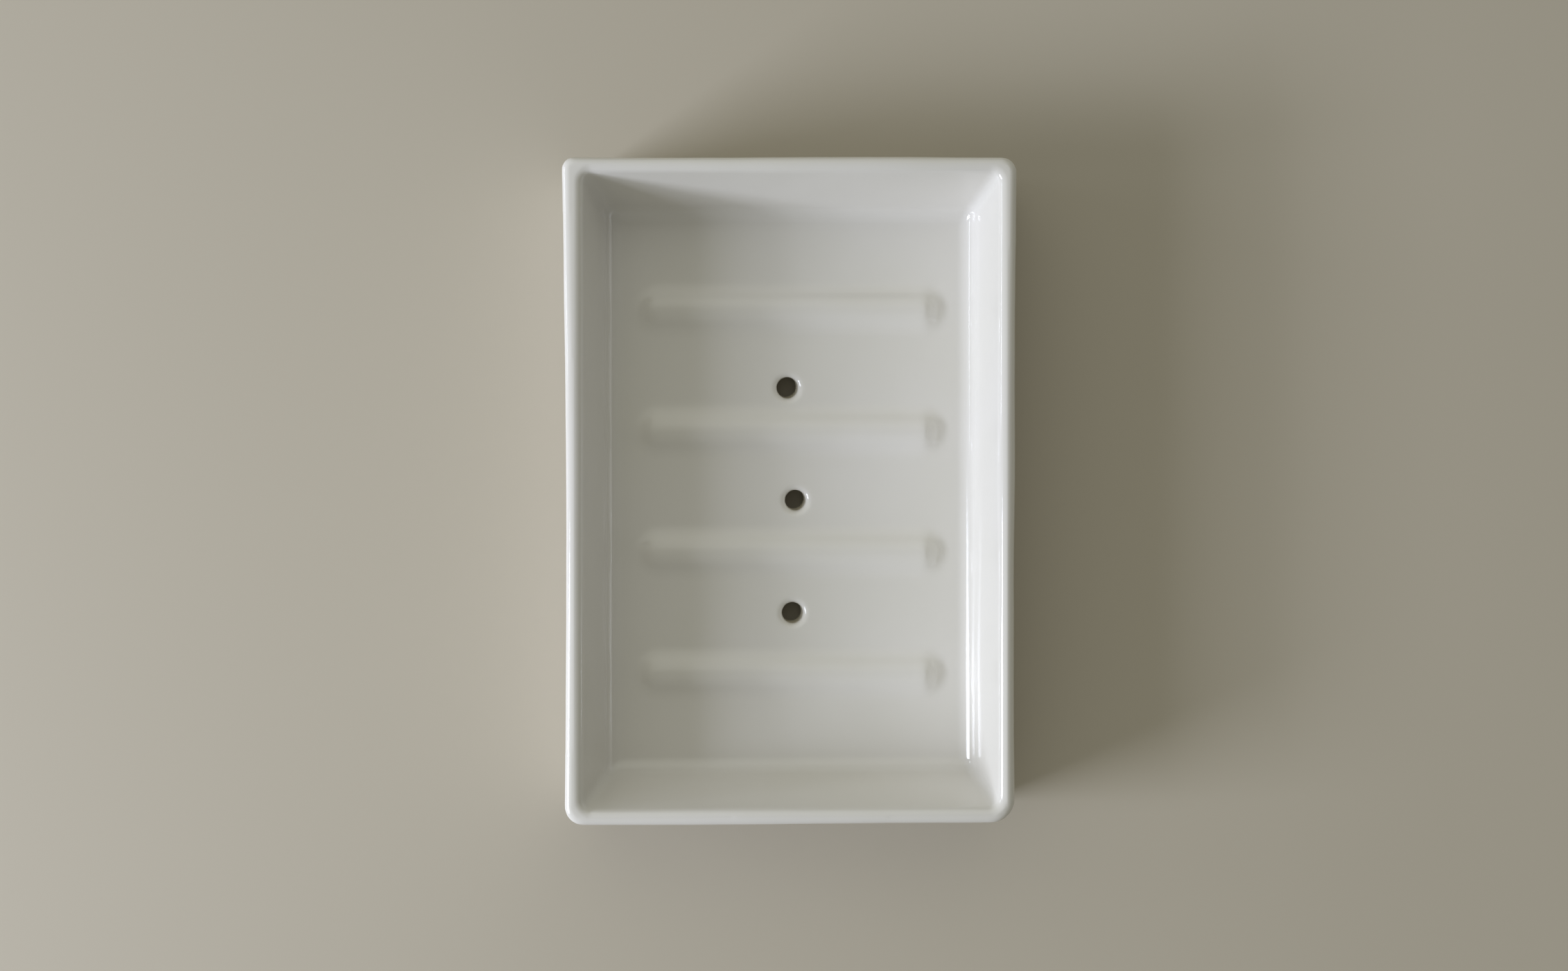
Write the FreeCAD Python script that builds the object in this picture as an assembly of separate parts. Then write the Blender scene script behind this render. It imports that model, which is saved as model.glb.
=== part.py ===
"""Rectangular soap dish in white glazed earthenware, pressed and fired as one piece.

A shallow tray with leaning inner walls, a fully rounded rim, four low ribs that hold
the soap out of the wet, three drain holes on the centre line, and a foot ring under it
that lets the water run away. All sizes are in millimetres. X runs across the dish, Y
along it and Z up. The origin is the middle of the dish, on the surface it stands on.
"""
import FreeCAD
import Part

import math
import os

from FreeCAD import Vector

# Overall size, measured over the rim at the far end
LENGTH = 140.0
WIDTH = 95.5
HEIGHT = 26.0

# The outside, a little out of true as a pressed tray is once fired: the near end is
# narrower and runs askew, and the long sides draw in at their middle
NEAR_END_NARROWER = 1.1
NEAR_END_SKEW_DEG = 0.42
LEFT_BOW = 0.7
RIGHT_BOW = 0.4
OUTER_TAPER_DEG = 2.5
FAR_RIGHT_CORNER_R = 3.3
FAR_LEFT_CORNER_R = 2.6
NEAR_LEFT_CORNER_R = 4.0
NEAR_RIGHT_CORNER_R = 5.0
BASE_EDGE_R = 2.2

# Rim: a round lip, RIM_WIDTH across the top where the wall is thinnest
RIM_WIDTH = 3.1
RIM_OUTER_R = 1.5
RIM_INNER_R = 1.8

# The well inside: the two ends lean more than the two sides
WELL_SHIFT_X = 0.3
SIDE_LEAN_DEG = 13.0
END_LEAN_DEG = 18.5
WELL_CORNER_R = 2.0
WELL_FILLET_R = 3.7

# Floor and foot ring
FLOOR_THICKNESS = 4.5
FOOT_HEIGHT = 2.0
FOOT_WIDTH = 4.2
FOOT_INNER_R = 0.7
RECESS_CORNER_R = 3.0
RECESS_FILLET_R = 1.2

# Ribs: sizes from foot to foot, with a round crown that runs out into the floor
RIB_COUNT = 4
RIB_PITCH = 26.3
RIB_ROW_X = 0.2
RIB_ROW_Y = -0.2
RIB_LENGTH = 69.0
RIB_WIDTH = 12.2
RIB_HEIGHT = 1.6
RIB_CROWN_R = 6.0
RIB_ROOT = 1.5

# Drain holes: pierced by hand, so none is quite on the centre line
HOLE_DIAMETER = 4.5
HOLE_MOUTH_R = 1.2
HOLE_EXIT_CHAMFER = 0.4
HOLE_PITCH = 24.4
HOLE_ROW_Y = -1.8
HOLE_OFFSETS_X = (0.2, 0.8, -0.9)

# How far a cutting solid runs past the face that it opens
OVERCUT = 2.0

FLOOR_TOP = FOOT_HEIGHT + FLOOR_THICKNESS
UP = Vector(0, 0, 1)


def slope(degrees):
    """Sideways run of a wall for each millimetre of height."""
    return math.tan(math.radians(degrees))


def half_space(point, outward):
    """A slab that stands for all that lies beyond a plane."""
    reach = 3 * LENGTH
    slab = Part.makeBox(reach, reach, reach, Vector(-reach / 2, -reach / 2, 0))
    slab.Placement = FreeCAD.Placement(point, FreeCAD.Rotation(UP, outward))
    return slab


def leaning_block(half_width, half_length, low, high, side_lean=0.0, end_lean=0.0):
    """A block whose walls lean in towards its low face, with its near end askew.

    The half sizes are those of its high face, and the leans are in degrees. The near
    wall reaches the half length only at the left edge of the dish.
    """
    near_y = -half_length + WIDTH / 2 * slope(NEAR_END_SKEW_DEG)
    walls = (
        (Vector(half_width, 0, high), 0, side_lean),
        (Vector(0, half_length, high), 90, end_lean),
        (Vector(-half_width, 0, high), 180, side_lean),
        (Vector(0, near_y, high), 270 + NEAR_END_SKEW_DEG, end_lean),
    )
    block = Part.makeBox(4 * half_width, 4 * half_length, high - low,
                         Vector(-2 * half_width, -2 * half_length, low))
    for point, turn_deg, lean_deg in walls:
        turn, lean = math.radians(turn_deg), math.radians(lean_deg)
        outward = Vector(math.cos(turn), math.sin(turn), -math.tan(lean))
        block = block.cut(half_space(point, outward))
    return block.Solids[0]


def is_level(shape, z):
    """Whether an edge or face lies at height z."""
    near = 0.01
    return abs(shape.BoundBox.ZMin - z) < near and abs(shape.BoundBox.ZMax - z) < near


def edges_at(shape, z):
    """The edges that lie at height z."""
    return [edge for edge in shape.Edges if is_level(edge, z)]


def inner_edges_at(shape, z):
    """The inner edges of the ring-shaped face that lies at height z."""
    found = []
    for face in shape.Faces:
        if is_level(face, z):
            for wire in face.Wires:
                if not wire.isSame(face.OuterWire):
                    found.extend(wire.Edges)
    return found


def corner_edges(block, sign_x=0, sign_y=0):
    """The edges that climb the corners of a block, or the one in the given quarter."""
    rise = block.BoundBox.ZLength / 2
    return [edge for edge in block.Edges
            if edge.BoundBox.ZLength > rise
            and edge.CenterOfMass.x * sign_x >= 0
            and edge.CenterOfMass.y * sign_y >= 0]


def outer_half_sizes(z):
    """Half width and half length of the outside at height z, before its edges are rounded.

    They are set so that the rounded rim measures WIDTH by LENGTH at its widest.
    """
    taper = math.radians(OUTER_TAPER_DEG)
    lost_in_rounding = RIM_OUTER_R * (math.tan(taper) + 1 / math.cos(taper) - 1)
    change = lost_in_rounding - (HEIGHT - z) * slope(OUTER_TAPER_DEG)
    return WIDTH / 2 + change, LENGTH / 2 + change


def beyond_long_side(sign, bow):
    """The very large cone that a long side lies on: it bows the side in and tapers it."""
    half_width, half_length = outer_half_sizes(HEIGHT)
    far = Vector(sign * half_width, half_length, 0)
    near = Vector(sign * (half_width - NEAR_END_NARROWER / 2), -half_length, 0)
    chord = far - near
    outward = Vector(chord.y, -chord.x, 0).normalize() * sign
    radius = (chord.Length ** 2 / 4 + bow ** 2) / (2 * bow)
    centre = (far + near) / 2 + outward * (radius - bow)
    low, high = -OVERCUT, HEIGHT + OVERCUT
    low_radius = radius + (HEIGHT - low) * slope(OUTER_TAPER_DEG)
    high_radius = radius + (HEIGHT - high) * slope(OUTER_TAPER_DEG)
    cone = Part.makeCone(low_radius, high_radius, high - low, centre + UP * low)
    # Turned so that the cone's seam lies away from the dish
    cone.rotate(centre, UP, 90)
    return cone


def outer_form():
    """The dish as a solid block: tapered sides, soft base edge and the outside of the rim."""
    half_width, half_length = outer_half_sizes(HEIGHT)
    roomy = half_width + LEFT_BOW + RIGHT_BOW
    block = leaning_block(roomy, half_length, 0, HEIGHT, end_lean=OUTER_TAPER_DEG)
    block = block.cut([beyond_long_side(-1, LEFT_BOW), beyond_long_side(1, RIGHT_BOW)])
    corners = (
        (1, 1, FAR_RIGHT_CORNER_R),
        (-1, 1, FAR_LEFT_CORNER_R),
        (-1, -1, NEAR_LEFT_CORNER_R),
        (1, -1, NEAR_RIGHT_CORNER_R),
    )
    for sign_x, sign_y, radius in corners:
        block = block.makeFillet(radius, corner_edges(block, sign_x, sign_y))
    block = block.makeFillet(BASE_EDGE_R, edges_at(block, 0))
    return block.makeFillet(RIM_OUTER_R, edges_at(block, HEIGHT))


def well_half_sizes(z):
    """Half width and half length of the well between its walls at height z.

    At the rim they leave RIM_WIDTH at the ends and where the bowed sides come nearest.
    """
    half_width, half_length = outer_half_sizes(HEIGHT)
    drawn_in = max(LEFT_BOW - WELL_SHIFT_X, RIGHT_BOW + WELL_SHIFT_X)
    waist = half_width - NEAR_END_NARROWER / 4 - drawn_in
    below_rim = HEIGHT - z
    return (waist - RIM_WIDTH - below_rim * slope(SIDE_LEAN_DEG),
            half_length - RIM_WIDTH - below_rim * slope(END_LEAN_DEG))


def well():
    """The hollow that the soap lies in: a wide round foot to its walls, and tight corners."""
    top = HEIGHT + OVERCUT
    hollow = leaning_block(*well_half_sizes(top), FLOOR_TOP, top, SIDE_LEAN_DEG, END_LEAN_DEG)
    hollow = hollow.makeFillet(WELL_FILLET_R, edges_at(hollow, FLOOR_TOP))
    hollow = hollow.makeFillet(WELL_CORNER_R, corner_edges(hollow))
    hollow.translate(Vector(WELL_SHIFT_X, 0, 0))
    return hollow


def recess():
    """The shallow hollow under the floor that leaves the foot ring standing."""
    sizes = [half - BASE_EDGE_R - FOOT_WIDTH for half in outer_half_sizes(0)]
    hollow = leaning_block(*sizes, -OVERCUT, FOOT_HEIGHT)
    hollow = hollow.makeFillet(RECESS_CORNER_R, corner_edges(hollow))
    return hollow.makeFillet(RECESS_FILLET_R, edges_at(hollow, FOOT_HEIGHT))


def rib_half_section():
    """Half of a rib's section in the XZ plane, from its crest out to its foot at +X.

    The crown arc and the foot arc share one tangent, and the foot arc ends level, so the
    rib runs out into the floor with no edge. The root below it is buried in the floor.
    """
    half = RIB_WIDTH / 2
    steepest = 2 * math.atan(RIB_HEIGHT / half)
    foot_r = half / math.sin(steepest) - RIB_CROWN_R

    def on_crown(angle):
        drop = RIB_CROWN_R * (1 - math.cos(angle))
        return Vector(RIB_CROWN_R * math.sin(angle), 0, RIB_HEIGHT - drop)

    def on_foot(angle):
        return Vector(half - foot_r * math.sin(angle), 0, foot_r * (1 - math.cos(angle)))

    crest, shoulder, foot = on_crown(0), on_crown(steepest), on_foot(0)
    root_out, root_in = Vector(half, 0, -RIB_ROOT), Vector(0, 0, -RIB_ROOT)
    return Part.Face(Part.Wire([
        Part.Arc(crest, on_crown(steepest / 2), shoulder).toShape(),
        Part.Arc(shoulder, on_foot(steepest / 2), foot).toShape(),
        Part.LineSegment(foot, root_out).toShape(),
        Part.LineSegment(root_out, root_in).toShape(),
        Part.LineSegment(root_in, crest).toShape(),
    ]))


def rib():
    """One rib lying along X, centred on the origin with its foot at Z = 0."""
    half_section = rib_half_section()
    half_straight = (RIB_LENGTH - RIB_WIDTH) / 2
    across = half_section.copy()
    across.rotate(Vector(), UP, 90)
    across.translate(Vector(-half_straight, 0, 0))
    far_side = across.extrude(Vector(2 * half_straight, 0, 0))
    near_side = far_side.mirror(Vector(), Vector(0, 1, 0))
    right_end = half_section.copy()
    right_end.rotate(Vector(), UP, -90)
    right_end = right_end.revolve(Vector(), UP, 180)
    right_end.translate(Vector(half_straight, 0, 0))
    left_end = right_end.mirror(Vector(), Vector(1, 0, 0))
    return far_side.fuse([near_side, right_end, left_end]).removeSplitter()


def row(count, pitch, centre):
    """Places along a row, from the near end to the far end."""
    return [centre + (i - (count - 1) / 2) * pitch for i in range(count)]


def ribs():
    """The ribs in their row on the floor."""
    one = rib()
    placed = []
    for y in row(RIB_COUNT, RIB_PITCH, RIB_ROW_Y):
        copy = one.copy()
        copy.translate(Vector(RIB_ROW_X, y, FLOOR_TOP))
        placed.append(copy)
    return placed


def hole_edges(shape, z):
    """The circular edges of the drain holes at height z."""
    found = []
    for edge in edges_at(shape, z):
        if edge.Degenerated or not isinstance(edge.Curve, Part.Circle):
            continue
        if abs(edge.Curve.Radius - HOLE_DIAMETER / 2) < 0.01:
            found.append(edge)
    return found


def pierce(dish):
    """Cuts the drain holes, rounds their mouths and breaks their lower edges."""
    depth = FLOOR_THICKNESS + 2 * OVERCUT
    places = row(len(HOLE_OFFSETS_X), HOLE_PITCH, HOLE_ROW_Y)
    for x, y in zip(HOLE_OFFSETS_X, places):
        start = Vector(x, y, FOOT_HEIGHT - OVERCUT)
        dish = dish.cut(Part.makeCylinder(HOLE_DIAMETER / 2, depth, start))
    dish = dish.makeFillet(HOLE_MOUTH_R, hole_edges(dish, FLOOR_TOP))
    return dish.makeChamfer(HOLE_EXIT_CHAMFER, hole_edges(dish, FOOT_HEIGHT))


def soap_dish():
    """The whole dish as one solid."""
    dish = outer_form().cut(well())
    dish = dish.makeFillet(RIM_INNER_R, inner_edges_at(dish, HEIGHT))
    dish = dish.cut(recess())
    dish = dish.makeFillet(FOOT_INNER_R, inner_edges_at(dish, 0))
    dish = dish.fuse(ribs())
    return pierce(dish)


def main():
    os.makedirs("parts", exist_ok=True)
    dish = soap_dish()
    print("solids", len(dish.Solids), "valid", dish.isValid())
    dish.Solids[0].exportStep("parts/soap_dish.step")


main()
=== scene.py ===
import math

import bpy
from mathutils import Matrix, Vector


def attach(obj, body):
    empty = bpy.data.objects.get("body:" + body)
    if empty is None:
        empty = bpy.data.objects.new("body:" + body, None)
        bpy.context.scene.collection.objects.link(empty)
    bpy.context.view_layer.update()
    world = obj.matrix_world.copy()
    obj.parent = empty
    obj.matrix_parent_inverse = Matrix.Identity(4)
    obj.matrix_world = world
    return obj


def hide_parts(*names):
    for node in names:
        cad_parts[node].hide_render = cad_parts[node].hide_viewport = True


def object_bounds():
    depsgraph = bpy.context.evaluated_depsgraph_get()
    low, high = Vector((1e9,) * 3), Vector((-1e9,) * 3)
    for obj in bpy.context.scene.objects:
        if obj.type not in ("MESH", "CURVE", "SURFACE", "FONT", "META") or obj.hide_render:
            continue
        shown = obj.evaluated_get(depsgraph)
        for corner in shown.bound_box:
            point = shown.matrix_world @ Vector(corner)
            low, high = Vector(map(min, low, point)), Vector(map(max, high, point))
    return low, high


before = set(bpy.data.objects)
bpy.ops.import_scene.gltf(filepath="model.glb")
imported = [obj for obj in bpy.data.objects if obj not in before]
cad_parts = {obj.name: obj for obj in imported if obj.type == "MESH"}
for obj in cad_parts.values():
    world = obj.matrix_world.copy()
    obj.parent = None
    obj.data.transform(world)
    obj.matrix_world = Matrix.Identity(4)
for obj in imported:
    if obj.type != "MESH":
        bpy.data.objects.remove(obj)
solid_box = [list(corner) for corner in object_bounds()]
bpy.ops.object.select_all(action="DESELECT")
bpy.context.scene.view_settings.view_transform = "Standard"


# The dish: one piece of white earthenware, pressed in a plaster mould, dried, bisque fired and
# dipped in glaze. The firing let its long walls lean and bow a little, and the melted glaze
# rounded every edge and ran together in the corners.
SAME_POINT = 0.00001
SKIN_GRID = 0.0005
SKIN_TRIANGLES = 190000

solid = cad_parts["soap_dish"]
dish = bpy.data.objects.new("glazed_dish", solid.data.copy())
bpy.context.collection.objects.link(dish)
bpy.context.view_layer.objects.active = dish
dish.select_set(True)
bpy.ops.object.mode_set(mode="EDIT")
bpy.ops.mesh.select_all(action="SELECT")
bpy.ops.mesh.remove_doubles(threshold=SAME_POINT)
bpy.ops.mesh.customdata_custom_splitnormals_clear()
bpy.ops.object.mode_set(mode="OBJECT")


def work(kind, **settings):
    """Adds one modifier to the dish with these settings and applies it."""
    step = dish.modifiers.new(kind.lower(), kind)
    for name, setting in settings.items():
        setattr(step, name, setting)
    bpy.ops.object.modifier_apply(modifier=step.name)


def unevenness(name, scale, depth):
    """Soft random unevenness of the fired clay: hollows this far apart and this deep."""
    pattern = bpy.data.textures.new(name, "CLOUDS")
    pattern.noise_scale = scale
    pattern.noise_depth = 0
    work("DISPLACE", texture=pattern, strength=depth, mid_level=0.5, texture_coords="LOCAL")


# A fine even skin of squares takes the melted softness, and is then thinned where it lies flat
work("REMESH", mode="VOXEL", voxel_size=SKIN_GRID, adaptivity=0.0)
work("SMOOTH", factor=0.5, iterations=3)
work("DECIMATE", ratio=SKIN_TRIANGLES / (2 * len(dish.data.polygons)))
unevenness("kiln_slump", 0.028, 0.0003)
unevenness("glaze_ripple", 0.008, 0.00004)


def pick(wanted):
    """Opens the dish for editing with the points selected that are wanted."""
    bpy.ops.object.mode_set(mode="EDIT")
    bpy.ops.mesh.select_all(action="DESELECT")
    bpy.ops.object.mode_set(mode="OBJECT")
    for vertex in dish.data.vertices:
        vertex.select = wanted(vertex.co)
    bpy.ops.object.mode_set(mode="EDIT")


def push(wanted, move, reach):
    """Moves the wanted points of the soft clay, which draws what lies within reach along."""
    pick(wanted)
    bpy.ops.transform.translate(value=move, use_proportional_edit=True,
                                proportional_edit_falloff="SMOOTH", proportional_size=reach)
    bpy.ops.object.mode_set(mode="OBJECT")


def stretch(wanted, height):
    """Scales the height of the wanted points above the floor."""
    pick(wanted)
    bpy.ops.transform.resize(value=(1, 1, height), center_override=(0, 0, 0))
    bpy.ops.object.mode_set(mode="OBJECT")


def ring(at, centres, near, far):
    """Whether a point lies in a ring about one of the centres, seen from above."""
    return near <= min((at.xy - centre).length for centre in centres) < far


# The drain holes were pierced by hand at a slant, so each mouth lies nearer and to the right
HOLES = [Vector((0.0002, -0.0262)), Vector((0.0008, -0.0018)), Vector((-0.0009, 0.0226))]
HOLE_ZONE = 0.0036
UPPER_SIDE = 0.0057
HOLE_SHIFT, MOUTH_SHIFT = (0, 0.0003, 0), (0.0005, -0.0005, 0)
for hole in HOLES:
    push(lambda at: ring(at, [hole], 0, HOLE_ZONE), HOLE_SHIFT, HOLE_ZONE)
    push(lambda at: at.z > UPPER_SIDE and ring(at, [hole], 0, HOLE_ZONE), MOUTH_SHIFT, HOLE_ZONE)

# The right end of each rib has a shallow groove and then a low ridge, which make a faint ledge
RIB_END_X = 0.0286
RIB_ROWS = (-0.03965, -0.01335, 0.01295, 0.03925)
RIB_ENDS = [Vector((RIB_END_X, row)) for row in RIB_ROWS]
ARC_START = 0.85
ARC_SOFTNESS = 0.0009


def press_ends(near, far, move):
    """Pushes the clay up or down along an arc around each rib's right end."""
    start = RIB_END_X + ARC_START * near
    push(lambda at: at.x > start and at.z > UPPER_SIDE and ring(at, RIB_ENDS, near, far),
         (0, 0, move), ARC_SOFTNESS)


press_ends(0.0016, 0.0021, -0.00010)
press_ends(0.0034, 0.0038, 0.00014)

# A nib of glaze stayed on the far rim
NIB = Vector((0.0350, 0.0689, 0.026))
NIB_RADIUS, NIB_HEIGHT, NIB_SOFTNESS = 0.0004, 0.00018, 0.0006
push(lambda at: (at - NIB).length < NIB_RADIUS, (0, 0, NIB_HEIGHT), NIB_SOFTNESS)

# The rim was trued to one height and the foot rubbed level
FOOT_WEAR = 0.0003
solid_height = solid_box[1][2]
stretch(lambda at: True, solid_height / max(vertex.co.z for vertex in dish.data.vertices))
stretch(lambda at: at.z < FOOT_WEAR, 0)
bpy.ops.object.shade_smooth()


class Paint:
    """A socket of one material: sums and products of it add the Math nodes that work them out."""

    def __init__(self, tree, socket=None):
        self.tree = tree
        self.socket = socket

    def node(self, kind, settings, values, output=0):
        """Adds a node with its settings, then its values or links, and gives one output."""
        made = self.tree.nodes.new("ShaderNode" + kind)
        for name, setting in settings.items():
            setattr(made, name, setting)
        for name, value in values.items():
            if isinstance(value, Paint):
                self.tree.links.new(value.socket, made.inputs[name])
            else:
                made.inputs[name].default_value = value
        return Paint(self.tree, made.outputs[output])

    def maths(self, operation, first, second):
        return self.node("Math", {"operation": operation}, {0: first, 1: second})

    def __add__(self, other):
        return self.maths("ADD", self, other)

    def __sub__(self, other):
        return self.maths("SUBTRACT", self, other)

    def __rsub__(self, other):
        return self.maths("SUBTRACT", other, self)

    def __mul__(self, other):
        return self.maths("MULTIPLY", self, other)

    __radd__ = __add__
    __rmul__ = __mul__

    def noise(self, scale, detail=2.0):
        """Soft noise between 0 and 1 over this place, with so many lumps to the metre."""
        return self.node("TexNoise", {}, {"Vector": self, "Scale": scale, "Detail": detail})

    def parts(self):
        """The X, Y and Z of this place or direction."""
        return [self.node("SeparateXYZ", {}, {"Vector": self}, axis) for axis in "XYZ"]

    def distance(self, point):
        """How far this place is from a point."""
        return self.node("VectorMath", {"operation": "DISTANCE"}, {0: self, 1: point}, "Value")

    def nearest(self, points):
        """How far this place is from the nearest of some points."""
        least = self.distance(points[0])
        for point in points[1:]:
            least = least.maths("MINIMUM", least, self.distance(point))
        return least

    def above_zero(self):
        """This, or 0 where it is less."""
        return self.maths("MAXIMUM", self, 0.0)

    def rise(self, low, high):
        """0 where this is below low, 1 above high, and a smooth rise between."""
        smooth = {"interpolation_type": "SMOOTHSTEP"}
        return self.node("MapRange", smooth, {"Value": self, "From Min": low, "From Max": high})

    def blend(self, first, second):
        """A colour that goes from first to second as this goes from 0 to 1."""
        # The Mix node's sockets for colours share their names with others, so numbers tell them
        return self.node("Mix", {"data_type": "RGBA"}, {0: self, 6: first, 7: second}, 2)

    def drive(self, shader, name):
        """Links this to a named socket of the shader."""
        self.tree.links.new(self.socket, shader.inputs[name])


def new_material(name):
    """An empty material with its shader node and a Paint to build on it."""
    made = bpy.data.materials.new(name)
    made.use_nodes = True
    return made, made.node_tree.nodes["Principled BSDF"], Paint(made.node_tree)


# White glaze, a little greyer where it pooled thick. It is thin down the drain holes and was
# wiped off the foot, so the buff clay shows there
GLAZE_THIN, GLAZE_THICK = (0.737, 0.716, 0.676, 1), (0.717, 0.697, 0.646, 1)
CLAY_PALE, CLAY_DARK = (0.58, 0.50, 0.38, 1), (0.47, 0.39, 0.28, 1)
BORE_CLAY = (0.50, 0.46, 0.36, 1)
WIPED_HEIGHTS, WIPED_WANDER = (0.0006, 0.0009), 0.0005
BORE_RADII, BORE_WANDER = (0.0029, 0.0034), 0.0006
BORE_HEIGHTS = (0.0050, 0.0060)
BUMP_DEPTH = 0.00001
GLAZE_IOR = 1.6

glaze, surface, paint = new_material("white_glaze_on_earthenware")
place = paint.node("TexCoord", {}, {}, "Object")
across, along, height = place.parts()
cloud = place.noise(26.0).rise(0.3, 0.7)

wiped = 1.0 - (height + WIPED_WANDER * place.noise(300.0)).rise(*WIPED_HEIGHTS)
grain = place.noise(2600.0, 3.0)
clay = grain.rise(0.35, 0.65).blend(CLAY_PALE, CLAY_DARK)

on_plan = paint.node("CombineXYZ", {}, {"X": across, "Y": along})
off_axis = on_plan.nearest([(hole.x, hole.y, 0) for hole in HOLES])
in_bore = 1.0 - (off_axis + BORE_WANDER * place.noise(700.0)).rise(*BORE_RADII)
in_bore = in_bore * (1.0 - height.rise(*BORE_HEIGHTS))

white = cloud.blend(GLAZE_THIN, GLAZE_THICK)
colour = wiped.blend(in_bore.blend(white, BORE_CLAY), clay)
colour.drive(surface, "Base Color")
roughness = 0.07 + 0.06 * cloud + 0.8 * wiped + 0.12 * in_bore
roughness.drive(surface, "Roughness")
surface.inputs["IOR"].default_value = GLAZE_IOR

# Its skin is not quite even, and the bare clay is grainy
skin = place.noise(420.0, 1.0) + 6.0 * wiped * grain
paint.node("Bump", {}, {"Distance": BUMP_DEPTH, "Height": skin}).drive(surface, "Normal")

dish.data.materials.clear()
dish.data.materials.append(glaze)
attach(dish, "root")
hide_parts("soap_dish")


# The floor: a plain pale counter, matt, with no pattern. It only carries the dish's shadow.
FLOOR_SIZE = 12.0
COUNTER_COLOUR = (0.49, 0.445, 0.36, 1)
COUNTER_ROUGHNESS = 0.6

bpy.ops.mesh.primitive_plane_add(size=FLOOR_SIZE)
floor = bpy.context.active_object
floor.name = "floor"
counter, surface, paint = new_material("pale_counter")
surface.inputs["Base Color"].default_value = COUNTER_COLOUR
surface.inputs["Roughness"].default_value = COUNTER_ROUGHNESS
floor.data.materials.append(counter)


# The light: a low soft window on the left, in three panels that get weaker upwards and towards
# the far side, and a plain room whose ceiling is brighter towards the far side.
PANEL_DISTANCE = 1.1


def soft_light(name, azimuth, elevation, width, depth, energy, colour):
    """A flat panel of so many watts that faces the dish; azimuth 0 is on +X and 90 on +Y."""
    turn, lift = math.radians(azimuth), math.radians(elevation)
    reach = math.cos(lift)
    toward = Vector((math.cos(turn) * reach, math.sin(turn) * reach, math.sin(lift)))
    bpy.ops.object.light_add(type="AREA", location=toward * PANEL_DISTANCE)
    lamp = bpy.context.active_object
    lamp.name = name
    lamp.rotation_euler = toward.to_track_quat("Z", "Y").to_euler()
    lamp.visible_camera = False
    lamp.data.shape = "RECTANGLE"
    lamp.data.size = width
    lamp.data.size_y = depth
    lamp.data.energy = energy
    lamp.data.color = colour


soft_light("window_low", 198, 20, 0.46, 0.16, 7.2, (0.81, 0.855, 1.0))
soft_light("window_high", 196, 30, 0.46, 0.28, 4.7, (0.81, 0.86, 1.0))
soft_light("window_side", 169, 13, 0.30, 0.12, 1.1, (0.85, 0.90, 1.0))

# The room's light from each side; the ceiling takes over from the walls as up goes to 1
FAR_CEILING, LEFT_CEILING, WHOLE_CEILING = 1.15, 0.25, 0.19
FAR_WALL, NEAR_WALL = 0.20, 0.33
ROOM_LIGHT = (1.0, 1.0, 0.885, 1)

room = bpy.data.worlds.new("room")
room.use_nodes = True
paint = Paint(room.node_tree)
air = room.node_tree.nodes["Background"]
right, far, up = paint.node("TexCoord", {}, {}, "Generated").parts()
up = up.above_zero()
far_side = far.above_zero()
near_side = (0.0 - far).above_zero()
left_side = (0.0 - right).above_zero()
glow = FAR_CEILING * far_side * up + FAR_WALL * far_side + NEAR_WALL * near_side
glow = glow + WHOLE_CEILING * up * up + LEFT_CEILING * left_side * up

# What the camera sees of the room rises from the dim far counter to a plain pale wall
FAR_COUNTER, PALE_WALL = (0.24, 0.223, 0.171, 1), (0.43, 0.41, 0.34, 1)
WALL_BEGINS = 0.35
seen = paint.node("LightPath", {}, {}, "Is Camera Ray")
backdrop = up.rise(0.0, WALL_BEGINS).blend(FAR_COUNTER, PALE_WALL)
seen.blend(ROOM_LIGHT, backdrop).drive(air, "Color")
(glow * (1.0 - seen) + seen).drive(air, "Strength")
bpy.context.scene.world = room


# The camera: straight above the dish, as far away as its walls' slopes in the picture suggest.
CAMERA_SPOT = (-0.00114, 0.0012, 0.525)
SENSOR_WIDTH, LENS = 36.0, 54.9

bpy.ops.object.camera_add(location=CAMERA_SPOT, rotation=(0, 0, 0))
camera = bpy.context.active_object
camera.data.sensor_width = SENSOR_WIDTH
camera.data.lens = LENS
bpy.context.scene.camera = camera
